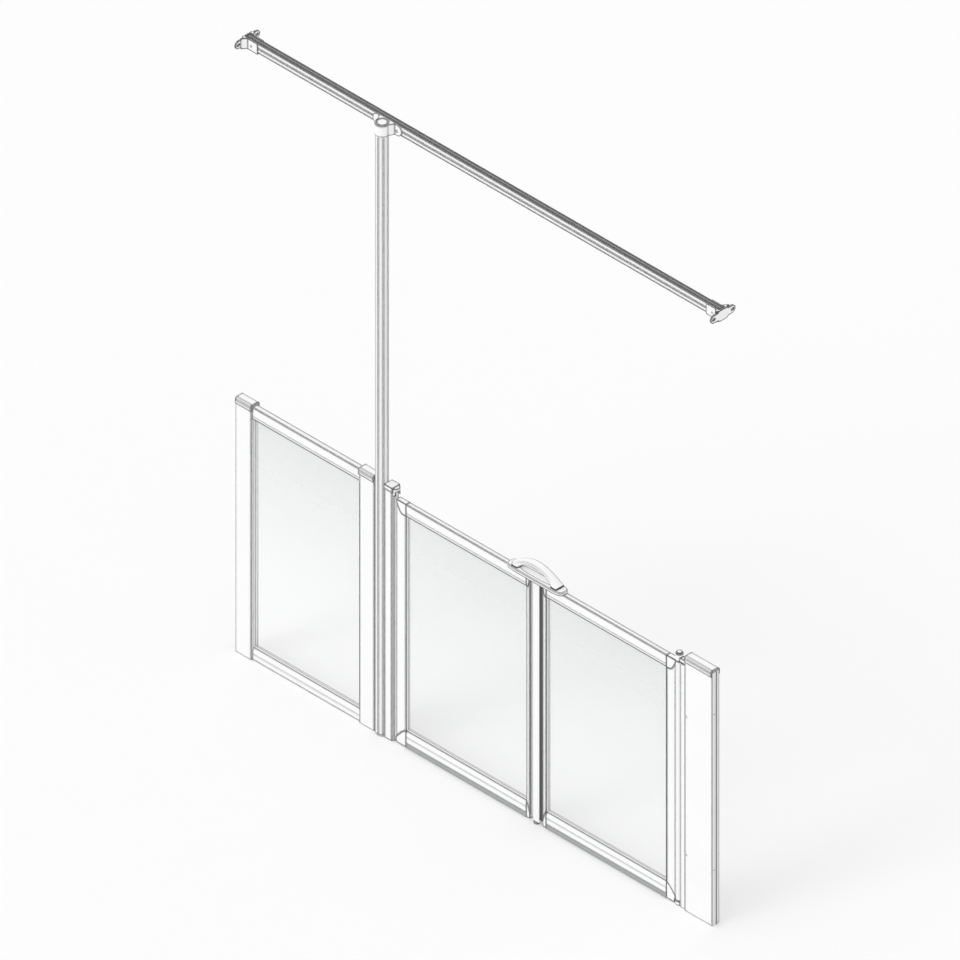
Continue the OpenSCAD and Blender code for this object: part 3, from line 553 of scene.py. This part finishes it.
def mesh_piece(name: str, points: np.ndarray, faces: Sequence[Sequence[int]],
               body: Body) -> bpy.types.Object:
    """Makes a piece at the origin that rides on a body.

    Args:
        name: the piece's name.
        points: an N by 3 array of places in metres.
        faces: corner indices of each face.
        body: the body it rides on.

    Returns:
        The object, with its normals pointing out.
    """
    mesh = bpy.data.meshes.new(name)
    mesh.from_pydata([tuple(point) for point in points.tolist()], [], [list(face) for face in faces])
    build = bmesh.new()
    build.from_mesh(mesh)
    bmesh.ops.remove_doubles(build, verts=build.verts, dist=WELD)
    bmesh.ops.recalc_face_normals(build, faces=build.faces)
    build.to_mesh(mesh)
    build.free()
    piece = bpy.data.objects.new(name, mesh)
    bpy.context.scene.collection.objects.link(piece)
    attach(piece, body.value)
    return piece


def grid_faces(rows: int, columns: int, wrap: bool) -> list[list[int]]:
    """Lists the quads of a grid of points that is numbered row by row.

    Args:
        rows: how many rows of points.
        columns: how many points in a row.
        wrap: whether the last column joins the first.

    Returns:
        Four corner indices for each quad.
    """
    row, column = np.meshgrid(np.arange(rows - 1), np.arange(columns if wrap else columns - 1),
                              indexing="ij")
    beside = (column + 1) % columns
    quads = np.stack([row * columns + column, row * columns + beside,
                      (row + 1) * columns + beside, (row + 1) * columns + column], axis=-1)
    return quads.reshape(-1, 4).tolist()


def capped_tube(rings: np.ndarray) -> Solid:
    """Closes a stack of rings into a solid.

    Args:
        rings: an R by C by 3 array, one closed ring a row.

    Returns:
        Its points and faces, with an n-sided face on each end.
    """
    count, around, _ = rings.shape
    faces = grid_faces(count, around, True)
    faces.append(list(range(around)))
    faces.append(list(range((count - 1) * around, count * around)))
    return rings.reshape(-1, 3), faces


def merged(parts: Iterable[Solid]) -> Solid:
    """Puts several solids into one list of points and faces.

    Args:
        parts: the solids.

    Returns:
        All their points, and faces that count through them.
    """
    points, faces, start = [], [], 0
    for part_points, part_faces in parts:
        points.append(part_points)
        faces += [[index + start for index in face] for face in part_faces]
        start += len(part_points)
    return np.concatenate(points), faces


def superellipse(count: int, half_x: float, half_y: float, power: float) -> np.ndarray:
    """A rounded rectangle: x = a sign(cos) |cos|^(2/n), y = b sign(sin) |sin|^(2/n).

    Args:
        count: how many points.
        half_x: a, half of its width.
        half_y: b, half of its depth.
        power: n; 2 gives an ellipse and more makes it squarer.

    Returns:
        A count by 2 array.
    """
    turn = np.linspace(0, 2 * math.pi, count, endpoint=False)
    bend = 2 / power
    x = half_x * np.sign(np.cos(turn)) * np.abs(np.cos(turn)) ** bend
    y = half_y * np.sign(np.sin(turn)) * np.abs(np.sin(turn)) ** bend
    return np.stack([x, y], axis=-1)


def smooth_by_angle(piece: bpy.types.Object, limit_deg: float) -> None:
    """Shades a piece smooth but keeps its sharper edges.

    Args:
        piece: the piece.
        limit_deg: edges that turn by this much or more stay sharp.
    """
    build = bmesh.new()
    build.from_mesh(piece.data)
    for face in build.faces:
        face.smooth = True
    limit = math.radians(limit_deg)
    for edge in build.edges:
        edge.smooth = len(edge.link_faces) == 2 and edge.calc_face_angle(0.0) < limit
    build.to_mesh(piece.data)
    build.free()


@dataclass
class EdgedNodes:
    """CAD pieces shown with the small rounded edges that extrusion and moulding leave."""

    finishes: Finishes
    slot: Slot
    nodes: dict[Body, tuple[str, ...]]
    round_mm: float
    segments: int = 2
    weld: float = 2e-6
    flat_deg: float = 0.6
    crease_deg: float = 32.0

    def build(self) -> list[bpy.types.Object]:
        """Makes a rounded copy of every node, which stands for it."""
        return [self._one(name, body) for body, names in self.nodes.items() for name in names]

    def _one(self, name: str, body: Body) -> bpy.types.Object:
        """Copies a node, joins its flat faces and rounds its edges.

        Args:
            name: the node.
            body: the body it rides on.

        Returns:
            The piece.
        """
        mesh = frame["nodes"][name].data.copy()
        build = bmesh.new()
        build.from_mesh(mesh)
        bmesh.ops.remove_doubles(build, verts=build.verts, dist=self.weld)
        bmesh.ops.dissolve_limit(build, angle_limit=math.radians(self.flat_deg), verts=build.verts,
                                 edges=build.edges)
        build.to_mesh(mesh)
        build.free()
        mesh.name = "edged_" + name
        piece = bpy.data.objects.new("edged_" + name, mesh)
        bpy.context.scene.collection.objects.link(piece)
        smooth_by_angle(piece, self.crease_deg)
        bevel = piece.modifiers.new("rounded_edges", "BEVEL")
        bevel.width = self.round_mm * MM
        bevel.segments = self.segments
        bevel.limit_method = "ANGLE"
        bevel.angle_limit = math.radians(self.crease_deg)
        bevel.use_clamp_overlap = True
        bevel.miter_outer = "MITER_ARC"
        flat = piece.modifiers.new("flat_faces", "WEIGHTED_NORMAL")
        flat.keep_sharp = False
        self.finishes.dress_node(piece, name, self.slot)
        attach(piece, body.value)
        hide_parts(name)
        return piece


@dataclass
class ArchHandle:
    """The moulded lift handle: a rounded base, an arch that flares into it, and a dark ring of painted
    shade where a finger recess would be.
    """

    finishes: Finishes
    around: int = 40
    along: int = 56
    crease_deg: float = 40.0
    base_mm: float = 11.0
    base_power: float = 5.0
    edge_mm: float = 3.5
    edge_steps: int = 9
    grip_power: float = 2.4
    crisp_power: float = 7.0
    rise_mm: float = 40.0
    reach_mm: float = 86.0
    foot_mm: float = 8.0
    lowest_mm: float = 1.0
    half_deep_mm: float = 12.5
    flare_deep_mm: float = 3.5
    half_thick_mm: float = 7.0
    flare_thick_mm: float = 7.5
    flare_power: int = 4
    recess_half_mm: tuple[float, float] = (66.0, 11.5)
    recess_power: float = 2.8
    recess_line_mm: float = 1.8
    recess_sunk_mm: float = -0.4
    recess_proud_mm: float = 0.25

    def build(self) -> bpy.types.Object:
        """Makes the handle inside the box of its node.

        Returns:
            The piece.
        """
        low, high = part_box("arch_handle")
        points, faces = merged([self._base(low, high), self._arch(low, high)])
        piece = mesh_piece("moulded_arch_handle", points, faces, Body.BAR)
        self.finishes.dress(piece, HANDLE_PLASTIC)
        smooth_by_angle(piece, self.crease_deg)
        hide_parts("arch_handle")
        return piece

    def recess(self) -> bpy.types.Object:
        """Makes a dark ring on the base, under the arch: painted shade for the edge of a finger
        recess.

        Returns:
            The piece.
        """
        low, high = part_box("arch_handle")
        half, line = np.array(self.recess_half_mm) * MM, self.recess_line_mm * MM / 2
        outer = superellipse(2 * self.around, *(half + line), self.recess_power)
        inner = superellipse(2 * self.around, *(half - line), self.recess_power)
        sunk, proud = self.recess_sunk_mm, self.recess_proud_mm
        levels = np.array([sunk, proud, proud, sunk, sunk]) * MM + (low.z + self.base_mm * MM)
        plan = np.stack([outer, outer, inner, inner, outer]) + self._centre(low, high)
        tall = np.broadcast_to(levels[:, None, None], plan.shape[:2] + (1,))
        rings = np.concatenate([plan, tall], axis=-1)
        piece = mesh_piece("handle_recess_painted_shade", rings.reshape(-1, 3),
                           grid_faces(len(rings), 2 * self.around, True), Body.BAR)
        self.finishes.dress(piece, JOINT_SHADE)
        return piece

    @staticmethod
    def _centre(low: Vector, high: Vector) -> np.ndarray:
        """The middle of a box in plan."""
        return np.array([(low.x + high.x) / 2, (low.y + high.y) / 2])

    def _base(self, low: Vector, high: Vector) -> Solid:
        """Stacks superellipse plans whose size follows a quarter circle at the upper edge.

        Args:
            low: the lowest corner of the handle's box.
            high: its highest corner.

        Returns:
            The base.
        """
        half_x, half_y = (high.x - low.x) / 2, (high.y - low.y) / 2
        height, edge = self.base_mm * MM, self.edge_mm * MM
        plan = superellipse(4 * self.around, half_x, half_y, self.base_power)
        turn = np.linspace(0, math.pi / 2, self.edge_steps)
        inset = np.concatenate([[0.0], edge * (1 - np.cos(turn))])
        level = np.concatenate([[0.0], height - edge + edge * np.sin(turn)])
        shrink = 1 - np.stack([inset / half_x, inset / half_y], axis=-1)
        rings = plan[None] * shrink[:, None, :]
        tall = np.broadcast_to(level[:, None, None], rings.shape[:2] + (1,)) + low.z
        return capped_tube(np.concatenate([rings + self._centre(low, high), tall], axis=-1))

    def _arch(self, low: Vector, high: Vector) -> Solid:
        """Stacks sections along a circular arc, thicker towards both feet.

        The arc's radius is (reach^2 + rise^2) / (2 rise), and its flare is the share of the way
        to a foot, to the fourth power. A section is round at the upper front and lower back,
        where the fingers close, and crisp at its two other corners, where the mould parts.

        Args:
            low: the lowest corner of the handle's box.
            high: its highest corner.

        Returns:
            The arch.
        """
        centre_x, centre_y = self._centre(low, high)
        rise, reach = self.rise_mm * MM, self.reach_mm * MM
        radius = (reach ** 2 + rise ** 2) / (2 * rise)
        swing = math.asin(reach / radius)
        angle = np.linspace(-swing, swing, self.along)
        flare = (np.abs(angle) / swing) ** self.flare_power
        half_deep = (self.half_deep_mm + self.flare_deep_mm * flare) * MM
        half_thick = (self.half_thick_mm + self.flare_thick_mm * flare) * MM
        round_ring = superellipse(self.around, 1.0, 1.0, self.grip_power)
        crisp_ring = superellipse(self.around, 1.0, 1.0, self.crisp_power)
        crisp = (round_ring[:, :1] * round_ring[:, 1:]) > 0
        unit = np.where(crisp, crisp_ring, round_ring)
        out = np.stack([np.sin(angle), np.cos(angle)], axis=-1)
        axis_x = radius * out[:, 0]
        axis_z = low.z + self.foot_mm * MM + rise - radius + radius * out[:, 1]
        thick = unit[None, :, 0] * half_thick[:, None]
        x = centre_x + axis_x[:, None] + thick * out[:, :1]
        z = np.maximum(axis_z[:, None] + thick * out[:, 1:], low.z + self.lowest_mm * MM)
        y = centre_y + unit[None, :, 1] * half_deep[:, None]
        return capped_tube(np.stack([x, y, z], axis=-1))


@dataclass
class Seams:
    """Thin dark slivers where flush pieces meet and along glazing edges, one mesh for each body:
    partly sealant and gasket, partly painted shade in the hairline gaps.

    An outline lists points of a corner piece's inner edge as shares of its width and height.
    """

    finishes: Finishes
    width_mm: float = 1.5
    proud_mm: float = 0.25
    lip_mm: float = 3.5
    side_lip_mm: float = 3.0
    pane_foot_mm: float = 8.0
    wide_corner: float = 0.040
    narrow_corner: float = 0.014
    head_tall: float = 0.042
    foot_tall: float = 0.057
    head_outline: tuple[tuple[float, float], ...] = ((0, 0.12), (0.38, 0.82), (0.62, 1.0), (1.0, 1.0))
    foot_outline: tuple[tuple[float, float], ...] = ((0, 0.34), (0.5, 0.76), (0.85, 0.98), (1.0, 1.0))
    lines: dict[Body, list[tuple[Vec, Vec, float]]] = field(default_factory=dict)

    def line(self, body: Body, start: Vec, end: Vec, width_mm: float) -> None:
        """Adds a line on a front face, from start to end in the plane of that face."""
        self.lines.setdefault(body, []).append((start, end, width_mm))

    def glazing(self, body: Body, glass: str, top_rail: str, right_post: str | None) -> None:
        """Adds dark lips along the lower edge of a top rail and the right side of a pane: part glazing
        rubber, part painted shade under the rail.

        Args:
            body: the body they ride on.
            glass: the pane.
            top_rail: the rail over it.
            right_post: the stile or post at its right, or None for no lip there.
        """
        pane_low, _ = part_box(glass)
        rail_low, rail_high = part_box(top_rail)
        over, beside = self.lip_mm * MM / 2, self.side_lip_mm * MM / 2
        self.line(body, (rail_low.x, rail_low.y, rail_low.z + over),
                  (rail_high.x, rail_low.y, rail_low.z + over), self.lip_mm)
        if right_post is None:
            return
        post_low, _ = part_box(right_post)
        self.line(body, (post_low.x + beside, post_low.y, pane_low.z + self.pane_foot_mm * MM),
                  (post_low.x + beside, post_low.y, rail_low.z), self.side_lip_mm)

    def leaf(self, body: Body, corners: str, left_wide: float, right_wide: float) -> None:
        """Adds the lines round a leaf's corner pieces.

        Args:
            body: the leaf.
            corners: the node that holds its corner pieces.
            left_wide: width of the two corner pieces at the left.
            right_wide: width of the two at the right.
        """
        low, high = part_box(corners)
        for edge, reach in ((low.x, left_wide), (high.x, -right_wide)):
            for level, tall, outline in ((high.z, -self.head_tall, self.head_outline),
                                         (low.z, self.foot_tall, self.foot_outline)):
                inner = edge + reach
                self.line(body, (inner, low.y, level), (inner, low.y, level + tall), self.width_mm)
                spots = [(edge + reach * along, low.y, level + tall * down)
                         for along, down in outline]
                for start, end in zip(spots, spots[1:]):
                    self.line(body, start, end, self.width_mm)

    def build(self) -> list[bpy.types.Object]:
        """Makes each body's lines as flat slivers that stand a hair proud of their face.

        Returns:
            The pieces.
        """
        pieces = []
        for body, lines in self.lines.items():
            piece = mesh_piece("joint_and_shade_lines_" + body.value,
                               *merged(self._sliver(Vector(start), Vector(end), width * MM)
                                       for start, end, width in lines), body)
            self.finishes.dress(piece, JOINT_SHADE)
            pieces.append(piece)
        return pieces

    def _sliver(self, start: Vector, end: Vector, width: float) -> Solid:
        """Makes a box along a line, with its width in the XZ plane and its depth along Y.

        Args:
            start: the line's first point.
            end: its last point.
            width: the box's width.

        Returns:
            The box.
        """
        along = (end - start).normalized()
        across = Vector((-along.z, 0, along.x)) * (width / 2)
        deep = np.array([-self.proud_mm * MM, self.proud_mm * MM])
        rim = np.array([start + across, start - across, end - across, end + across])
        rings = np.repeat(rim[None], 2, axis=0)
        rings[:, :, 1] += deep[:, None]
        return capped_tube(rings)


@dataclass
class RibbedLedge:
    """The ribbed gasket that stands on a leaf's bottom rail in front of the glass."""

    finishes: Finishes
    height_mm: float = 11.0
    rib_count: int = 2
    rib_steps: int = 8
    thick_mm: float = 2.0
    rib_share: float = 0.25
    glass_half_mm: float = 2.0
    back_gap_mm: float = 0.2

    def build(self, name: str, rail: str, body: Body) -> bpy.types.Object:
        """Carries a ribbed profile along the rail.

        With s for rib_share, depth = thick (1 - s + s cos(2 pi ribs height / full height)).

        Args:
            name: the piece's name.
            rail: the bottom rail that it stands on.
            body: the leaf.

        Returns:
            The piece.
        """
        low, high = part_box(rail)
        levels = np.linspace(0, self.height_mm, self.rib_steps * self.rib_count + 1)
        wave = np.cos(levels / self.height_mm * 2 * math.pi * self.rib_count)
        depth = self.thick_mm * (1 - self.rib_share + self.rib_share * wave)
        foot = high.z - self.height_mm * MM
        glass_face = (low.y + high.y) / 2 - self.glass_half_mm * MM
        front = np.stack([glass_face - depth * MM, foot + levels * MM], axis=-1)
        back = np.stack([np.full(2, glass_face - self.back_gap_mm * MM), np.array([high.z, foot])],
                        axis=-1)
        ring = np.concatenate([front, back])
        rings = np.stack([np.concatenate([np.full((len(ring), 1), x), ring], axis=1)
                          for x in (low.x, high.x)])
        piece = mesh_piece(name, *capped_tube(rings), body)
        self.finishes.dress(piece, LEDGE_RUBBER)
        return piece


@dataclass
class WallSealant:
    """The bead of dark sealant in the stepped recess of a wall channel."""

    finishes: Finishes
    width_mm: float = 5.0
    depth_mm: float = 1.0
    inset_mm: float = 0.1
    end_mm: float = 1.0
    power: float = 4.0
    around: int = 16

    def build(self, name: str, channel: str, side: int) -> bpy.types.Object:
        """Carries a superellipse section up the channel's web.

        Args:
            name: the piece's name.
            channel: the wall channel.
            side: -1 for the left wall, 1 for the right wall.

        Returns:
            The piece.
        """
        low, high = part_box(channel)
        wall_x = high.x if side > 0 else low.x
        centre = np.array([wall_x - side * (self.inset_mm + self.depth_mm / 2) * MM,
                           (low.y + high.y) / 2 + (self.width_mm / 2 + self.inset_mm) * MM])
        ring = superellipse(self.around, self.depth_mm / 2 * MM, self.width_mm / 2 * MM, self.power)
        ring += centre
        rings = np.stack([np.concatenate([ring, np.full((self.around, 1), level)], axis=1)
                          for level in (low.z + self.end_mm * MM, high.z - self.end_mm * MM)])
        piece = mesh_piece(name, *capped_tube(rings), Body.FRAME)
        self.finishes.dress(piece, JOINT_SHADE)
        return piece


EXTRUSIONS: dict[Body, tuple[str, ...]] = {
    Body.FRAME: ("panel_post_left", "panel_post_right", "panel_top_rail", "panel_bottom_rail",
                 "closing_jamb", "closing_profile", "wall_post_right", "hinge_profile"),
    Body.HINGED: ("hinged_stile_outer", "hinged_stile_inner", "hinged_top_rail",
                  "hinged_bottom_rail"),
    Body.BAR: ("centre_bar",),
    Body.LEADING: ("leading_stile_outer", "leading_stile_inner", "leading_top_rail",
                   "leading_bottom_rail"),
}
MOULDINGS: dict[Body, tuple[str, ...]] = {
    Body.FRAME: ("post_cap_left", "post_cap_middle", "wall_post_cap", "jamb_cap", "pole_foot",
                 "pole_collar", "rail_bracket_left", "rail_bracket_right", "pivot_block_bottom",
                 "pivot_cap_top"),
    Body.BAR: ("bar_foot",),
    Body.HINGED: ("hinged_corners",),
    Body.LEADING: ("leading_corners",),
}


def dress_nodes(finishes: Finishes) -> None:
    """Gives every CAD node its finish; rounded copies take the place of some of them later.

    Args:
        finishes: the finishes.
    """
    slots = {row["node"]: row["material_slot"] for row in frame["record"]["subparts"]}
    for name, node in frame["nodes"].items():
        finishes.dress_node(node, name, Slot(slots[name]))
        log.info("node %s has slot %s", name, slots[name])


def report(pieces: Iterable[bpy.types.Object]) -> None:
    """Logs the name of each new piece."""
    for piece in pieces:
        log.info("piece %s", piece.name)


def main() -> None:
    """Builds the studio, the finishes and each sub-assembly in order."""
    logging.basicConfig(level=logging.INFO, format="%(message)s")
    Studio().build()
    finishes = Finishes()
    dress_nodes(finishes)
    report(EdgedNodes(finishes, Slot.COAT, EXTRUSIONS, round_mm=0.7).build())
    report(EdgedNodes(finishes, Slot.PLASTIC, MOULDINGS, round_mm=1.1, segments=3).build())
    handle = ArchHandle(finishes)
    report([handle.build(), handle.recess()])
    seams = Seams(finishes)
    seams.leaf(Body.LEADING, "leading_corners", seams.wide_corner, seams.narrow_corner)
    seams.leaf(Body.HINGED, "hinged_corners", seams.narrow_corner, seams.wide_corner)
    seams.glazing(Body.FRAME, "panel_glass", "panel_top_rail", "panel_post_right")
    seams.glazing(Body.LEADING, "leading_glass", "leading_top_rail", None)
    seams.glazing(Body.HINGED, "hinged_glass", "hinged_top_rail", "hinged_stile_outer")
    report(seams.build())
    ledge = RibbedLedge(finishes)
    report([ledge.build("leading_ribbed_ledge", "leading_bottom_rail", Body.LEADING),
            ledge.build("hinged_ribbed_ledge", "hinged_bottom_rail", Body.HINGED)])
    sealant = WallSealant(finishes)
    report([sealant.build("wall_sealant_left", "wall_channel_left", -1),
            sealant.build("wall_sealant_right", "wall_channel_right", 1)])


if __name__ == "__main__":
    main()
